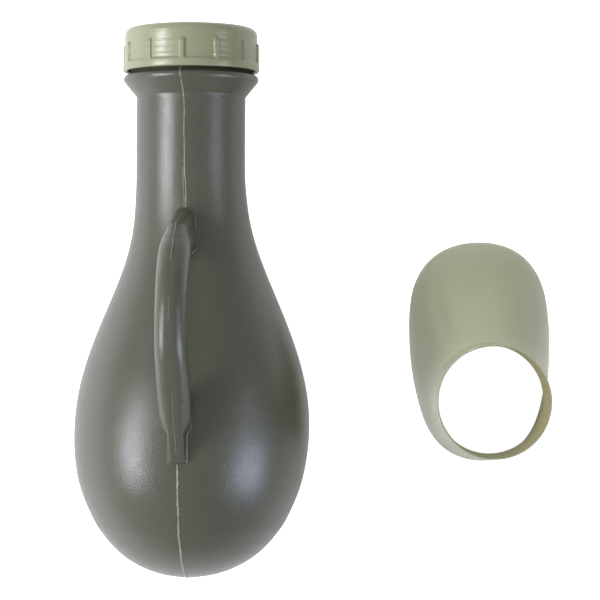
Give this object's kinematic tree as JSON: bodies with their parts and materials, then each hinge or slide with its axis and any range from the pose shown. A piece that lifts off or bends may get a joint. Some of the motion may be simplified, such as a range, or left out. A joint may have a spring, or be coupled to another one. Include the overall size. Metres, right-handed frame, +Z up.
{
  "type": "urine bottle",
  "caption": "Wide-neck urine bottle with a hollow grip, a sealed screw cap and a separate funnel-shaped adapter that plugs into its mouth.",
  "frame": {"origin": "centre of the flat land on the bottle's back, on the surface that it lies on", "axes": "+Z up towards the grip, +Y along the bottle towards its mouth, +X towards the adapter"},
  "size_m": [0.2365, 0.2662, 0.1397],
  "materials": {
    "bottle": "satin olive-grey blow-moulded polyethylene with fine texture",
    "cap": "glossy sage-green injection-moulded polypropylene",
    "seal": "matt white foamed polyethylene",
    "adapter": "smooth sage-green injection-moulded plastic"
  },
  "bodies": {
    "bottle": {"bottle_base": "bottle", "bottle_belly": "bottle", "bottle_neck": "bottle", "bottle_mouth": "bottle", "grip_handle": "bottle"},
    "seal": {"cap_seal": "seal"},
    "cap": {"screw_cap": "cap"},
    "adapter": {"adapter": "adapter"}
  },
  "joints": [
    {"name": "cap_lift", "type": "slide", "parent": "bottle", "child": "seal", "axis": [0, 1, 0], "range_m": [0, 0.02]},
    {"name": "cap_turn", "type": "hinge", "parent": "seal", "child": "cap", "pos_m": [0, 0.16, 0.05], "axis": [0, 1, 0], "range_deg": [0, 1440]},
    {"name": "adapter_lift", "type": "slide", "parent": "bottle", "child": "adapter", "axis": [0, 0, 1], "range_m": [0, 0.12]}
  ],
  "couplings": [
    {"joint": "cap_lift", "follows": "cap_turn", "m_per_rad": 0.00079577}
  ]
}
